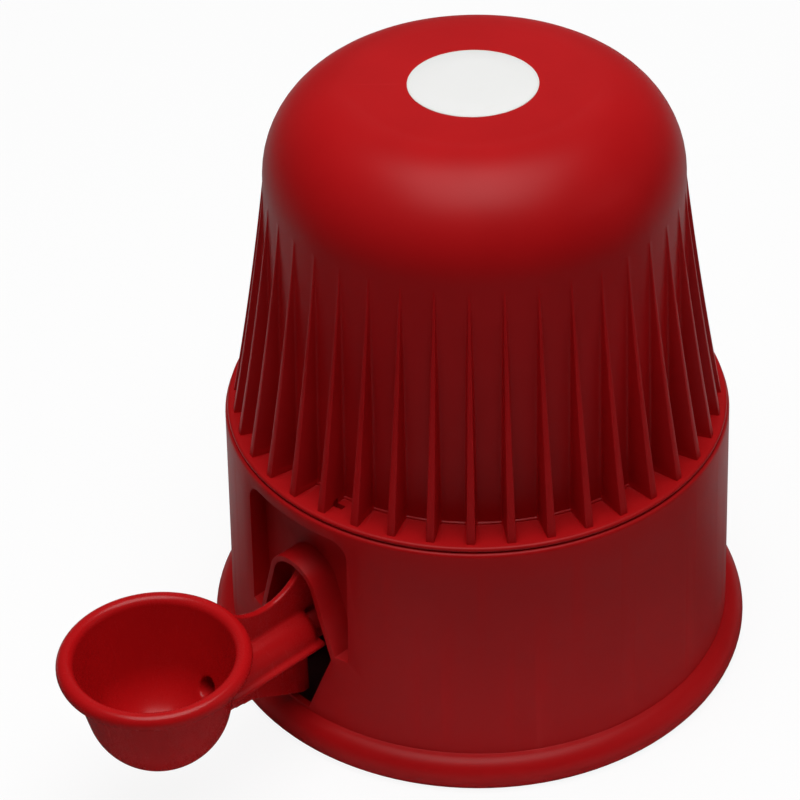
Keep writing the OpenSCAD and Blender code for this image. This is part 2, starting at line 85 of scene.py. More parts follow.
class Sock:
    """An output socket that can be used in arithmetic."""

    def __init__(self, graph: "Graph", socket: bpy.types.NodeSocket) -> None:
        """Keep the socket and the graph that it belongs to."""
        self.graph = graph
        self.socket = socket

    def apply(self, operation: str, *others: Union["Sock", Number], first: bool = True) -> "Sock":
        """Run a Math node on this value.

        Args:
            operation: the Math node's operation.
            others: the node's other operands.
            first: whether this value is the first operand.

        Returns:
            The node's result.
        """
        operands = (self, *others) if first else (*others, self)
        return self.graph.math(operation, *operands)

    def __add__(self, other: Union["Sock", Number]) -> "Sock":
        """This value plus another."""
        return self.apply("ADD", other)

    __radd__ = __add__

    def __sub__(self, other: Union["Sock", Number]) -> "Sock":
        """This value less another."""
        return self.apply("SUBTRACT", other)

    def __rsub__(self, other: Union["Sock", Number]) -> "Sock":
        """Another value less this one."""
        return self.apply("SUBTRACT", other, first=False)

    def __mul__(self, other: Union["Sock", Number]) -> "Sock":
        """This value times another."""
        return self.apply("MULTIPLY", other)

    __rmul__ = __mul__

    def __truediv__(self, other: Union["Sock", Number]) -> "Sock":
        """This value over another."""
        return self.apply("DIVIDE", other)

    def __rtruediv__(self, other: Union["Sock", Number]) -> "Sock":
        """Another value over this one."""
        return self.apply("DIVIDE", other, first=False)

    def __pow__(self, other: Union["Sock", Number]) -> "Sock":
        """This value to a power."""
        return self.apply("POWER", other)

    def __rpow__(self, other: Union["Sock", Number]) -> "Sock":
        """Another value to the power of this one."""
        return self.apply("POWER", other, first=False)

    def __abs__(self) -> "Sock":
        """This value without its sign."""
        return self.apply("ABSOLUTE")

    def least(self, other: Union["Sock", Number]) -> "Sock":
        """The smaller of two values."""
        return self.apply("MINIMUM", other)

    def most(self, other: Union["Sock", Number]) -> "Sock":
        """The larger of two values."""
        return self.apply("MAXIMUM", other)

    def unit(self) -> "Sock":
        """This value held between 0 and 1."""
        return self.most(0).least(1)

    def ramp(self, low: float, high: float) -> "Sock":
        """This value as a smooth step from 0 at low to 1 at high."""
        t = ((self - low) / (high - low)).unit()
        return t * t * (3 - 2 * t)


Operand = Union[Sock, Number, str, Sequence[float]]
Inputs = dict[Union[int, str], Operand]


class Graph:
    """A node tree that is filled by method calls."""

    mix_first: ClassVar[int] = 6
    mix_second: ClassVar[int] = 7
    mix_result: ClassVar[int] = 2

    def __init__(self, tree: bpy.types.NodeTree) -> None:
        """Keep the tree."""
        self.tree = tree

    def feed(self, node: bpy.types.Node, inputs: Inputs) -> None:
        """Set or link a node's inputs.

        Args:
            node: the node.
            inputs: a value or a Sock for each input, by name or number.
        """
        for key, value in inputs.items():
            if isinstance(value, Sock):
                self.tree.links.new(value.socket, node.inputs[key])
            else:
                node.inputs[key].default_value = value

    def node(self, kind: str, settings: dict[str, Any] | None = None,
             inputs: Inputs | None = None) -> bpy.types.Node:
        """Add a node, set it up and feed it.

        Args:
            kind: the node's type.
            settings: properties to set first, such as a Math node's operation.
            inputs: a value or a Sock for each input, by name or number.

        Returns:
            The new node.
        """
        made = self.tree.nodes.new(kind)
        for key, value in (settings or {}).items():
            setattr(made, key, value)
        self.feed(made, inputs or {})
        return made

    def out(self, kind: str, settings: dict[str, Any] | None = None,
            inputs: Inputs | None = None, output: Union[int, str] = 0) -> Sock:
        """Add a node and return one of its outputs."""
        return Sock(self, self.node(kind, settings, inputs).outputs[output])

    def math(self, operation: str, *operands: Union[Sock, Number]) -> Sock:
        """Add a Math node and return its result."""
        return self.out("ShaderNodeMath", {"operation": operation}, dict(enumerate(operands)))

    def mix(self, factor: Union[Sock, Number], first: Operand, second: Operand) -> Sock:
        """Blend two colours.

        Args:
            factor: 0 for the first colour, 1 for the second.
            first: a colour, or a Sock that carries one.
            second: a colour, or a Sock that carries one.

        Returns:
            The blended colour.
        """
        first, second = (value if isinstance(value, Sock) else (*value[:3], 1.0)
                         for value in (first, second))
        return self.out("ShaderNodeMix", {"data_type": "RGBA"},
                        {0: factor, self.mix_first: first, self.mix_second: second},
                        output=self.mix_result)

    def axes(self, place: Sock) -> tuple[Sock, Sock, Sock]:
        """Split a vector into its three numbers."""
        split = self.node("ShaderNodeSeparateXYZ", None, {0: place})
        x, y, z = (Sock(self, split.outputs[i]) for i in range(3))
        return x, y, z


# ---- finishes ----

MIDDLE = 0.5  # the mean of a noise


@dataclass(frozen=True)
class Speckle:
    """Noise between 0 and 1, with features of about 1/scale metres."""

    scale: float
    detail: float = 2.0
    rough: float = 0.5
    stretch: Point = (1.0, 1.0, 1.0)

    def over(self, graph: Graph, place: Sock) -> Sock:
        """Lay the noise over a place.

        Args:
            graph: the material's graph.
            place: the coordinates to read.

        Returns:
            The noise.
        """
        if self.stretch != (1.0, 1.0, 1.0):
            place = graph.out("ShaderNodeMapping", None, {"Vector": place, "Scale": self.stretch},
                              output="Vector")
        return graph.out("ShaderNodeTexNoise", {"noise_dimensions": "3D"},
                         {"Vector": place, "Scale": self.scale, "Detail": self.detail,
                          "Roughness": self.rough})


@dataclass(frozen=True)
class Finish:
    """A finish: one procedural material, made once and shared."""

    name: str
    made: ClassVar[dict[str, bpy.types.Material]] = {}

    def material(self) -> bpy.types.Material:
        """Build this finish's material the first time, and keep it.

        Returns:
            The material.
        """
        if self.name not in Finish.made:
            material = bpy.data.materials.new(self.name)
            material.use_nodes = True
            graph = Graph(material.node_tree)
            place = graph.out("ShaderNodeTexCoord", output="Object")
            self.shade(graph, place, material.node_tree.nodes["Principled BSDF"])
            Finish.made[self.name] = material
        return Finish.made[self.name]

    def shade(self, graph: Graph, place: Sock, shader: bpy.types.Node) -> None:
        """Set the shader's sockets.

        Args:
            graph: the material's graph.
            place: the object coordinates.
            shader: the Principled BSDF.
        """
        raise NotImplementedError

    def dress(self, piece: bpy.types.Object) -> None:
        """Put this finish on a piece or on a CAD node.

        Args:
            piece: the object to dress.
        """
        material = self.material()
        if not piece.material_slots:
            piece.data.materials.append(material)
        for slot in piece.material_slots:
            slot.material = material

    @staticmethod
    def bump(graph: Graph, height: Sock, depth: float) -> Sock:
        """Return a normal bent by a height field that is depth metres deep."""
        return graph.out("ShaderNodeBump", None,
                         {"Height": height, "Distance": depth, "Strength": 1.0}, output="Normal")


@dataclass(frozen=True)
class MouldedPlastic(Finish):
    """Opaque moulded plastic with a satin skin, a fine grain, faint rubbing and a painted
    highlight on sharp edges.
    """

    colour: Colour = (0.41, 0.0052, 0.0068)
    deep: Colour = (0.37, 0.0042, 0.0056)
    # the lighter, pinker colour of rubbed streaks and of the painted highlight on sharp edges
    rubbed_and_highlight: Colour = (0.47, 0.02, 0.022)
    gloss: float = 0.40
    shine: float = 0.14
    ior: float = 1.49
    clouds: Speckle = Speckle(14.0, 3.0)
    cloud_step: Step = (0.35, 0.65)
    flow: Speckle = Speckle(60.0, 4.0, 0.6, (1.0, 1.0, 0.25))
    flow_rough: float = 0.07
    flow_bump: float = 0.6
    grain: Speckle = Speckle(2400.0, 1.0)
    grain_rough: float = 0.05
    grain_bump: float = 0.8
    grain_depth: float = 0.00002
    streaks: Speckle = Speckle(420.0, 3.0, 0.6, (1.0, 1.0, 0.12))
    streak_step: Step = (0.66, 0.8)
    streak_wear: float = 0.03
    scuff_step: Step = (0.6, 0.78)
    scuff_rough: float = 0.03
    edge_step: Step = (0.52, 0.62)
    edge_patches: Step = (0.35, 0.6)
    # how strongly sharp edges take the lighter colour: part edge wear, part painted highlight
    edge_wear_and_highlight: float = 0.35

    def shade(self, graph: Graph, place: Sock, shader: bpy.types.Node) -> None:
        """Colour clouds, a fine grain, rubbed streaks, and sharp edges that are part worn, part
        painted highlight.

        Args:
            graph: the material's graph.
            place: the object coordinates.
            shader: the Principled BSDF.
        """
        clouds, flow = self.clouds.over(graph, place), self.flow.over(graph, place)
        grain, streaks = self.grain.over(graph, place), self.streaks.over(graph, place)
        point = graph.out("ShaderNodeNewGeometry", output="Pointiness")
        # sharp convex edges, in patches, turn lighter and pinker: part edge wear, part painted
        # highlight
        edge = point.ramp(*self.edge_step) * flow.ramp(*self.edge_patches)
        wear_and_highlight = edge * self.edge_wear_and_highlight + streaks.ramp(*self.streak_step) * self.streak_wear
        base = graph.mix(clouds.ramp(*self.cloud_step), self.deep, self.colour)
        rough = (self.gloss + (flow - MIDDLE) * self.flow_rough
                 + streaks.ramp(*self.scuff_step) * self.scuff_rough
                 + (grain - MIDDLE) * self.grain_rough)
        height = grain * self.grain_bump + flow * self.flow_bump
        graph.feed(shader, {
            "Base Color": graph.mix(wear_and_highlight, base, self.rubbed_and_highlight),
            "Roughness": rough.unit(),
            "IOR": self.ior,
            "Specular IOR Level": self.shine,
            "Normal": self.bump(graph, height, self.grain_depth),
        })


@dataclass(frozen=True)
class Rubber(Finish):
    """Matt black seal rubber with a dusty bloom."""

    colour: Colour = (0.018, 0.018, 0.019)
    bloom: Colour = (0.05, 0.049, 0.047)
    gloss: float = 0.62
    patches: Speckle = Speckle(130.0, 4.0, 0.6)
    patch_step: Step = (0.45, 0.75)
    patch_rough: float = 0.2
    pebble: Speckle = Speckle(1900.0)
    pebble_depth: float = 0.00003

    def shade(self, graph: Graph, place: Sock, shader: bpy.types.Node) -> None:
        """A patchy bloom over a dark base, with a fine pebble.

        Args:
            graph: the material's graph.
            place: the object coordinates.
            shader: the Principled BSDF.
        """
        patches, pebble = self.patches.over(graph, place), self.pebble.over(graph, place)
        graph.feed(shader, {
            "Base Color": graph.mix(patches.ramp(*self.patch_step), self.colour, self.bloom),
            "Roughness": (self.gloss + patches * self.patch_rough).unit(),
            "Normal": self.bump(graph, pebble, self.pebble_depth),
        })


@dataclass(frozen=True)
class Steel(Finish):
    """Bright drawn or turned stainless steel."""

    colour: Colour = (0.60, 0.59, 0.57)
    stained: Colour = (0.42, 0.38, 0.33)
    gloss: float = 0.24
    marks: Speckle = Speckle(900.0, 3.0, 0.6, (1.0, 1.0, 0.15))
    mark_rough: float = 0.12
    mark_depth: float = 0.000008
    stains: Speckle = Speckle(210.0, 4.0, 0.6)
    stain_step: Step = (0.55, 0.8)
    stain_blend: float = 0.6
    dull_step: Step = (0.5, 0.8)
    dull_rough: float = 0.15

    def shade(self, graph: Graph, place: Sock, shader: bpy.types.Node) -> None:
        """Fine drawing marks and light water stains.

        Args:
            graph: the material's graph.
            place: the object coordinates.
            shader: the Principled BSDF.
        """
        marks, stains = self.marks.over(graph, place), self.stains.over(graph, place)
        stained = stains.ramp(*self.stain_step) * self.stain_blend
        dull = stains.ramp(*self.dull_step) * self.dull_rough
        graph.feed(shader, {
            "Base Color": graph.mix(stained, self.colour, self.stained),
            "Metallic": 1.0,
            "Roughness": (self.gloss + marks * self.mark_rough + dull).unit(),
            "Normal": self.bump(graph, marks, self.mark_depth),
        })


@dataclass(frozen=True)
class LabelFilm(Finish):
    """Bare white label film with a clear top layer and a slightly yellowed rim."""

    colour: Colour = (0.76, 0.76, 0.75)
    aged: Colour = (0.70, 0.69, 0.655)
    gloss: float = 0.26
    radius: float = 0.0255
    rim_from: float = 0.93
    rim_blend: float = 0.7
    rim_rough: float = 0.15
    patches: Speckle = Speckle(90.0, 3.0)
    patch_step: Step = (0.6, 0.8)
    patch_blend: float = 0.25
    patch_rough: float = 0.1
    peel: Speckle = Speckle(700.0)
    peel_depth: float = 0.00001

    def shade(self, graph: Graph, place: Sock, shader: bpy.types.Node) -> None:
        """A clean field, a rim that has yellowed a little, and a faint orange peel.

        Args:
            graph: the material's graph.
            place: the object coordinates.
            shader: the Principled BSDF.
        """
        x, y, _ = graph.axes(place)
        reach = (x * x + y * y) ** 0.5
        peel, patches = self.peel.over(graph, place), self.patches.over(graph, place)
        rim = reach.ramp(self.radius * self.rim_from, self.radius) * self.rim_blend
        aged = (rim + patches.ramp(*self.patch_step) * self.patch_blend).unit()
        rough = self.gloss + patches * self.patch_rough + rim * self.rim_rough
        graph.feed(shader, {
            "Base Color": graph.mix(aged, self.colour, self.aged),
            "Roughness": rough.unit(),
            "Normal": self.bump(graph, peel, self.peel_depth),
        })


RED_TANK = MouldedPlastic("red_tank_plastic")
RED_BASE = MouldedPlastic("red_base_plastic", gloss=0.38)
RED_CUP = MouldedPlastic("red_cup_plastic", colour=(0.46, 0.0055, 0.0072),
                         deep=(0.42, 0.0045, 0.006), gloss=0.27, shine=0.2,
                         grain_depth=0.000008)
RED_WELL = MouldedPlastic("red_well_plastic", gloss=0.36)
WHITE_VALVE = MouldedPlastic("white_valve_plastic", colour=(0.72, 0.71, 0.68),
                             deep=(0.66, 0.65, 0.62), rubbed_and_highlight=(0.78, 0.77, 0.75), gloss=0.36)
SEAL_RUBBER = Rubber("seal_rubber_black")
SCREW_STEEL = Steel("screw_steel_bright")
SPRING_STEEL = Steel("spring_steel_bright", gloss=0.18)
LABEL_FILM = LabelFilm("label_film_white")


# ---- meshes ----

DOUBLES = 1e-6    # metres: points nearer than this on a new mesh are one point
NO_LENGTH = 1e-7  # metres: edges shorter than this have no length
WELD = 1e-5       # metres: points nearer than this on a CAD node's copy are one point
FLAT = 0.2        # degrees: faces that bend less than this are one face
ROUNDED = 35.0    # degrees: edges sharper than this are rounded
ROUND_STEPS = 2   # faces across a rounding
CREASE = 38.0     # degrees: edges sharper than this stay sharp in shading
SOFT_CREASE = 32.0  # degrees: the same, on pieces with rounded edges


def link(name: str, mesh: bpy.types.Mesh) -> bpy.types.Object:
    """Put a mesh into the scene as a new object.

    Args:
        name: the object's name.
        mesh: its mesh.

    Returns:
        The object.
    """
    made = bpy.data.objects.new(name, mesh)
    bpy.context.scene.collection.objects.link(made)
    return made


def smooth(mesh: bpy.types.Mesh, angle: float = CREASE) -> None:
    """Shade a mesh smooth, and keep edges sharper than this many degrees."""
    mesh.polygons.foreach_set("use_smooth", [True] * len(mesh.polygons))
    mesh.set_sharp_from_angle(angle=math.radians(angle))


def flattened(piece: bpy.types.Object, name: str) -> bpy.types.Object:
    """Turn an object with modifiers into a new object with a plain mesh.

    Args:
        piece: the object, which is removed.
        name: the new object's name.

    Returns:
        The new object.
    """
    bpy.context.view_layer.update()
    evaluated = piece.evaluated_get(bpy.context.evaluated_depsgraph_get())
    mesh = bpy.data.meshes.new_from_object(evaluated)
    piece.modifiers.clear()
    old = piece.data
    bpy.data.objects.remove(piece)
    if old.users == 0:
        bpy.data.meshes.remove(old)
    return link(name, mesh)


def turn_out(mesh: bpy.types.Mesh) -> None:
    """Merge a closed mesh's doubles, clear what has no area and point its faces outwards.

    Args:
        mesh: the mesh to mend.
    """
    work = bmesh.new()
    work.from_mesh(mesh)
    bmesh.ops.remove_doubles(work, verts=work.verts, dist=DOUBLES)
    bmesh.ops.dissolve_degenerate(work, edges=work.edges, dist=NO_LENGTH)
    if work.calc_volume(signed=True) < 0:
        bmesh.ops.reverse_faces(work, faces=work.faces)
    work.to_mesh(mesh)
    work.free()


def boxes(sizes: Iterable[tuple[Matrix, Vector]]) -> bpy.types.Mesh:
    """Build several boxes as one mesh.

    Args:
        sizes: each box's frame and its full size.

    Returns:
        The mesh.
    """
    work = bmesh.new()
    for place, size in sizes:
        bmesh.ops.create_cube(work, size=1.0, matrix=place @ Matrix.Diagonal((*size, 1.0)))
    mesh = bpy.data.meshes.new("boxes")
    work.to_mesh(mesh)
    work.free()
    return mesh


def turned(section: Sequence[tuple[float, float]], steps: int) -> bpy.types.Mesh:
    """Turn a section round the axis into a closed mesh.

    Args:
        section: points (radius, height) in millimetres, closed on the axis or on themselves.
        steps: how many columns go round.

    Returns:
        The mesh, with its faces outwards.
    """
    verts = [(r * MM * math.cos(TAU * i / steps), r * MM * math.sin(TAU * i / steps), z * MM)
             for i in range(steps) for r, z in section]
    n = len(section)
    closed = 0 if section[0][0] == 0 else 1
    faces = []
    for i in range(steps):
        for j in range(n - 1 + closed):
            k = (j + 1) % n
            here, there = i * n, (i + 1) % steps * n
            faces.append((here + j, there + j, there + k, here + k))
    mesh = bpy.data.meshes.new("turned")
    mesh.from_pydata(verts, [], faces)
    turn_out(mesh)
    return mesh


def copied(node: str) -> bpy.types.Mesh:
    """Copy a CAD node's mesh, weld it, and join its flat regions into single faces.

    Args:
        node: the CAD node.

    Returns:
        The copy.
    """
    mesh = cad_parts[node].data.copy()
    mesh.materials.clear()
    work = bmesh.new()
    work.from_mesh(mesh)
    bmesh.ops.remove_doubles(work, verts=work.verts, dist=WELD)
    bmesh.ops.dissolve_limit(work, angle_limit=math.radians(FLAT), verts=work.verts,
                             edges=work.edges)
    work.to_mesh(mesh)
    work.free()
    return mesh


def finish_piece(piece: bpy.types.Object, body: Body, slot: Slot, finish: Finish,
                 nodes: Sequence[str] = ()) -> None:
    """Dress a new piece, hide the CAD nodes it stands for, and put it on its body.

    Args:
        piece: the object, with a plain mesh.
        body: the body it rides on.
        slot: the record's material slot; not used.
        finish: what it is dressed in.
        nodes: the CAD nodes that it stands for.
    """
    finish.dress(piece)
    if nodes:
        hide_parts(*nodes)
    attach(piece, body.value)
    LOG.info("%s: %d faces on %s", piece.name, len(piece.data.polygons), body.value)


def soften(node: str, name: str, width: float, body: Body, slot: Slot, finish: Finish) -> None:
    """Rebuild a CAD node with moulded, rounded edges.

    Args:
        node: the CAD node.
        name: the new piece's name.
        width: the rounding's width in millimetres.
        body: the body it rides on.
        slot: the record's material slot.
        finish: what it is dressed in.
    """
    piece = link(name + "_raw", copied(node))
    bevel = piece.modifiers.new("edge", "BEVEL")
    bevel.width, bevel.segments = width * MM, ROUND_STEPS
    bevel.limit_method, bevel.angle_limit = "ANGLE", math.radians(ROUNDED)
    bevel.miter_outer = "MITER_ARC"
    bevel.use_clamp_overlap = True
    piece = flattened(piece, name)
    smooth(piece.data, SOFT_CREASE)
    finish_piece(piece, body, slot, finish, [node])


def dress_node(node: str, finish: Finish) -> None:
    """Dress a CAD node that shows as it is."""
    finish.dress(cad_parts[node])
    LOG.info("%s: the CAD node, in %s", node, finish.name)


# ---- the tank ----


@dataclass(frozen=True)
class Row:
    """One row of the tank's skin: its place in section, and the fin's edge there."""

    r: float
    z: float
    tip: float = 0.0
    half: float = 0.0

    @property
    def finned(self) -> float:
        """1 where the row runs round the fins, and 0 where it is a plain ring."""
        return 1.0 if self.half else 0.0


@dataclass(frozen=True)
class FinColumns:
    """Where the columns of half a fin start, counted from the middle of its edge."""

    nose: int = 1
    flank: int = 3
    fillet: int = 4
    wall: int = 7
    nose_of_half: float = 0.8
    nose_of_depth: float = 0.5
    fillet_of_depth: float = 0.45
    no_radius: float = 1e-6
    same_place: float = 2e-6


@dataclass
class Tank:
    """The finned tank with its keys, its floor and its bare label. Sizes in millimetres."""

    fins: int = 40
    steps: int = 20
    phase: float = -91.1
    flange_r: float = 104.0
    flange_z: float = 117.6
    flange_t: float = 2.2
    flange_ring: float = 0.7
    under_r: float = 95.0
    rim_steps: int = 6
    tip_r: float = 101.5
    fin_bow: float = 0.78
    fin_t: float = 3.5
    fin_top_t: float = 0.9
    fin_end: float = 1.5
    fin_rows: tuple[float, ...] = (226, 225, 223, 220, 215.5, 210, 203, 195, 186, 176, 166, 156,
                                   146, 137, 129, 123.5)
    tip_round: float = 0.45
    root_fillet: float = 1.1
    side_draft: float = 0.05
    columns: FinColumns = FinColumns()
    wall_r: float = 88.9
    wall_top_r: float = 83.3
    wall: float = 2.6
    wall_mid_z: float = 175.0
    bead: float = 0.6
    shoulder_r: float = 38.5
    shoulder_z: float = 227.5
    shoulder_steps: int = 17
    crown_z: float = 266.0
    crown_rings: tuple[float, ...] = (0, 9, 18, 27, 36)
    inner_ring: float = 22.0
    inner_steps: int = 10
    shelf_z: float = 120.85
    shelf_w: float = 1.2
    shelf_slack: float = 0.25
    bore_edge: float = 0.3
    crease: float = 42.0
    key_count: int = 4
    key_r: float = 95.6
    key_t: float = 3.0
    key_w: float = 10.0
    key_len: float = 4.0
    key_sink: float = 0.4
    key_angle: float = 10.0
    key_edge: float = 0.5
    key_edge_steps: int = 3
    slot_w: float = 4.4
    slot_d: float = 2.6
    label_r: float = 25.5
    label_t: float = 0.3
    label_steps: int = 120
    floor_edge: float = 0.35

    @property
    def flange_top(self) -> float:
        """Height of the flange's upper face."""
        return self.flange_z + self.flange_t

    @property
    def shoulder_in(self) -> float:
        """Distance from the axis to the middle of the shoulder's curve."""
        return self.wall_top_r - self.shoulder_r

    @property
    def lean(self) -> float:
        """Angle of the wall to the axis."""
        return math.atan((self.wall_r - self.wall_top_r) / (self.shoulder_z - self.flange_z))

    def wall_at(self, z: float) -> float:
        """Outer radius of the leaning wall at a height."""
        run = (z - self.flange_z) / (self.shoulder_z - self.flange_z)
        return self.wall_r + (self.wall_top_r - self.wall_r) * run

    def fin_row(self, z: float, extra: float = 0.0) -> Row:
        """Work out the row that runs round the fins at a height.

        Args:
            z: the height.
            extra: how far the wall stands out there.

        Returns:
            The row.
        """
        top = self.shoulder_z - self.fin_end
        run = (z - self.flange_top) / (top - self.flange_top)
        wall = self.wall_at(z) + extra
        bow = 4 * self.fin_bow * run * (1 - run)
        tip = self.tip_r + (self.wall_top_r - self.tip_r) * run - bow
        half = (self.fin_t + (self.fin_top_t - self.fin_t) * run) / 2
        return Row(wall, z, max(tip, wall), half)

    def crown_rows(self) -> list[Row]:
        """Lay out the outside from the middle of the crown to the shoulder's foot.

        Returns:
            The rows.
        """
        rows = [Row(r, self.crown_z) for r in self.crown_rings]
        for i in range(self.shoulder_steps + 1):
            a = QUARTER + (self.lean - QUARTER) * i / self.shoulder_steps
            rows.append(Row(self.shoulder_in + self.shoulder_r * math.cos(a),
                            self.shoulder_z + self.shoulder_r * math.sin(a)))
        return rows

    def bead_rows(self) -> list[Row]:
        """Lay out the small bead at the wall's foot, from its top to the flange.

        Returns:
            The rows.
        """
        bead = self.bead
        rises = ((1.15, 0.0), (1.0, bead * 0.6), (0.8, bead), (0.35, bead), (0.1, bead + 0.1),
                 (0.0, bead + 0.35))
        return [self.fin_row(self.flange_top + rise, extra) for rise, extra in rises]

    def flange_rows(self) -> list[Row]:
        """Lay out the flange, round its rim to the underside.

        Returns:
            The rows.
        """
        foot, edge = self.flange_top, self.flange_t / 2
        rows = [Row(self.tip_r + self.flange_ring, foot)]
        for i in range(self.rim_steps + 1):
            a = QUARTER - math.pi * i / self.rim_steps
            rows.append(Row(self.flange_r - edge + edge * math.cos(a),
                            foot - edge + edge * math.sin(a)))
        return rows + [Row(self.under_r, self.flange_z)]

    def inner_rows(self) -> list[Row]:
        """Lay out the inside, from the flange's bore past the shelf to the crown.

        Returns:
            The rows.
        """
        bore = self.wall_r - self.wall
        ledge, over = bore - self.shelf_w, self.shelf_z + self.shelf_w
        rows = [Row(bore + self.bore_edge, self.flange_z),
                Row(bore, self.flange_z + self.bore_edge), Row(bore, self.shelf_z),
                Row(ledge, self.shelf_z), Row(ledge, over), Row(bore - self.shelf_slack, over),
                Row(self.wall_at(self.wall_mid_z) - self.wall, self.wall_mid_z)]
        inner = self.shoulder_r - self.wall
        for i in range(self.inner_steps + 1):
            a = self.lean + (QUARTER - self.lean) * i / self.inner_steps
            rows.append(Row(self.shoulder_in + inner * math.cos(a),
                            self.shoulder_z + inner * math.sin(a)))
        roof = self.crown_z - self.wall
        return rows + [Row(self.inner_ring, roof), Row(0, roof)]

    def rows(self) -> list[Row]:
        """Section of the whole skin, from the crown round to the crown's inside."""
        return (self.crown_rows() + [self.fin_row(z) for z in self.fin_rows] + self.bead_rows()
                + self.flange_rows() + self.inner_rows())

    def section_mesh(self) -> bpy.types.Mesh:
        """Lay the section out as loose points that carry the fin's edge as attributes.

        Returns:
            The mesh of points.
        """
        rows = self.rows()
        mesh = bpy.data.meshes.new("tank_section")
        mesh.from_pydata([(row.r * MM, 0, row.z * MM) for row in rows], [], [])
        for name, values in (("tip", [row.tip * MM for row in rows]),
                             ("half", [row.half * MM for row in rows]),
                             ("finned", [row.finned for row in rows])):
            mesh.attributes.new(name, "FLOAT", "POINT").data.foreach_set("value", values)
        return mesh

    def skin_tree(self) -> bpy.types.NodeTree:
        """Build the tree that wraps the section round the axis and draws the fins out of it.

        Columns run round the tank, a fixed number to each fin: a rounded tip, the two sides, a
        fillet at the root and the wall between two fins. Rows follow the section.

        Returns:
            The node tree.
        """
        tree = bpy.data.node_groups.new("finned_skin", "GeometryNodeTree")
        face = tree.interface
        face.new_socket("Geometry", in_out="INPUT", socket_type="NodeSocketGeometry")
        for name, kind in (("Fins", "Int"), ("Steps per fin", "Int"), ("First fin", "Float"),
                           ("Tip rounding", "Float"), ("Root fillet", "Float"),
                           ("Side draft", "Float")):
            face.new_socket(name, in_out="INPUT", socket_type=f"NodeSocket{kind}")
        face.new_socket("Finish", in_out="INPUT", socket_type="NodeSocketMaterial")
        face.new_socket("Geometry", in_out="OUTPUT", socket_type="NodeSocketGeometry")
        g = Graph(tree)
        entry = g.node("NodeGroupInput")
        section, fins, steps, first, tip_round, fillet, draft, finish = (
            Sock(g, entry.outputs[i]) for i in range(8))
        count = g.out("GeometryNodeAttributeDomainSize", {"component": "MESH"}, {0: section})
        grid = g.out("GeometryNodeMeshGrid", None, {
            "Size X": 1.0, "Size Y": 1.0, "Vertices X": fins * steps + 1, "Vertices Y": count},
            output="Mesh")
        index = g.out("GeometryNodeInputIndex")
        column = ((index + 0.5) / count).apply("FLOOR")  # half a step keeps it off the border
        row = index - column * count

        def sampled(value: Sock, kind: str) -> Sock:
            """Read a value of the section at this row."""
            return g.out("GeometryNodeSampleIndex",
                         {"data_type": kind, "domain": "POINT", "clamp": True},
                         {"Geometry": section, "Value": value, "Index": row})

        def named(name: str) -> Sock:
            """Read a named number of the section at this row."""
            return sampled(g.out("GeometryNodeInputNamedAttribute", {"data_type": "FLOAT"},
                                 {"Name": name}), "FLOAT")

        wall, _, height = g.axes(sampled(g.out("GeometryNodeInputPosition"), "FLOAT_VECTOR"))
        tip, half, finned = named("tip"), named("half"), named("finned")
        at = self.columns
        fin = ((column + 0.5) / steps).apply("FLOOR")
        across = column - fin * steps - steps / 2
        side, q = across.apply("SIGN"), abs(across)
        reach = steps / 2
        pitch = TAU / fins
        depth = (tip - wall).most(0)
        nose = tip_round.least(half * at.nose_of_half).least(depth * at.nose_of_depth)
        root = fillet.least(depth * at.fillet_of_depth)
        a = ((q - at.nose) / (at.flank - at.nose)).unit() * QUARTER
        flank = (q - at.flank).unit()
        b = ((q - at.fillet) / (at.wall - at.fillet)).unit() * QUARTER
        plain = ((q - at.wall) / (reach - at.wall)).unit()
        x = ((half - nose) * q.unit() + nose * a.apply("SINE") + draft * flank
             + root * (1 - b.apply("COSINE")) + plain * (pitch / 2 * wall - half - draft - root))
        stand = ((depth - nose * (1 - a.apply("COSINE"))) * (1 - flank)
                 + flank * root * (1 - b.apply("SINE")))
        radius = wall + stand * finned
        bent = x / radius.most(at.no_radius) * finned + q / reach * pitch / 2 * (1 - finned)
        angle = first + fin * pitch + side * bent
        place = g.out("ShaderNodeCombineXYZ", None, {
            0: radius * angle.apply("COSINE"), 1: radius * angle.apply("SINE"), 2: height})
        moved = g.out("GeometryNodeSetPosition", None, {"Geometry": grid, "Position": place})
        merged = g.out("GeometryNodeMergeByDistance", None,
                       {"Geometry": moved, "Distance": at.same_place})
        real = g.out("GeometryNodeRealizeInstances", None, {"Geometry": merged})
        dressed = g.out("GeometryNodeSetMaterial", None, {"Geometry": real, "Material": finish})
        g.node("NodeGroupOutput", None, {0: dressed})
        return tree

    def build_skin(self) -> None:
        """Build the finned tank, cut the small slots in its flange and put it on its body."""
        raw = link("tank_skin_raw", self.section_mesh())
        tree = self.skin_tree()
        values = {"Fins": self.fins, "Steps per fin": self.steps,
                  "First fin": math.radians(self.phase), "Tip rounding": self.tip_round * MM,
                  "Root fillet": self.root_fillet * MM, "Side draft": self.side_draft * MM,
                  "Finish": RED_TANK.material()}
        wrap = raw.modifiers.new("skin", "NODES")
        wrap.node_group = tree
        for item in tree.interface.items_tree:
            if item.in_out == "INPUT" and item.name in values:
                wrap[item.identifier] = values[item.name]
        piece = flattened(raw, "tank_skin_closed")
        turn_out(piece.data)
        cutter = link("slot_cutter", boxes(self.slots()))
        cut = piece.modifiers.new("slots", "BOOLEAN")
        cut.operation, cut.object, cut.solver = "DIFFERENCE", cutter, "EXACT"
        piece = flattened(piece, "tank_skin")
        bpy.data.objects.remove(cutter)
        smooth(piece.data, self.crease)
        finish_piece(piece, Body.TANK, Slot.TANK, RED_TANK, ["reservoir_shell"])

    def key_frames(self) -> list[Matrix]:
        """Place a frame at each locating key, with X along the radius."""
        angles = [self.key_angle - 90 + 360 / self.key_count * k for k in range(self.key_count)]
        return [Matrix.Rotation(math.radians(angle), 4, "Z") for angle in angles]

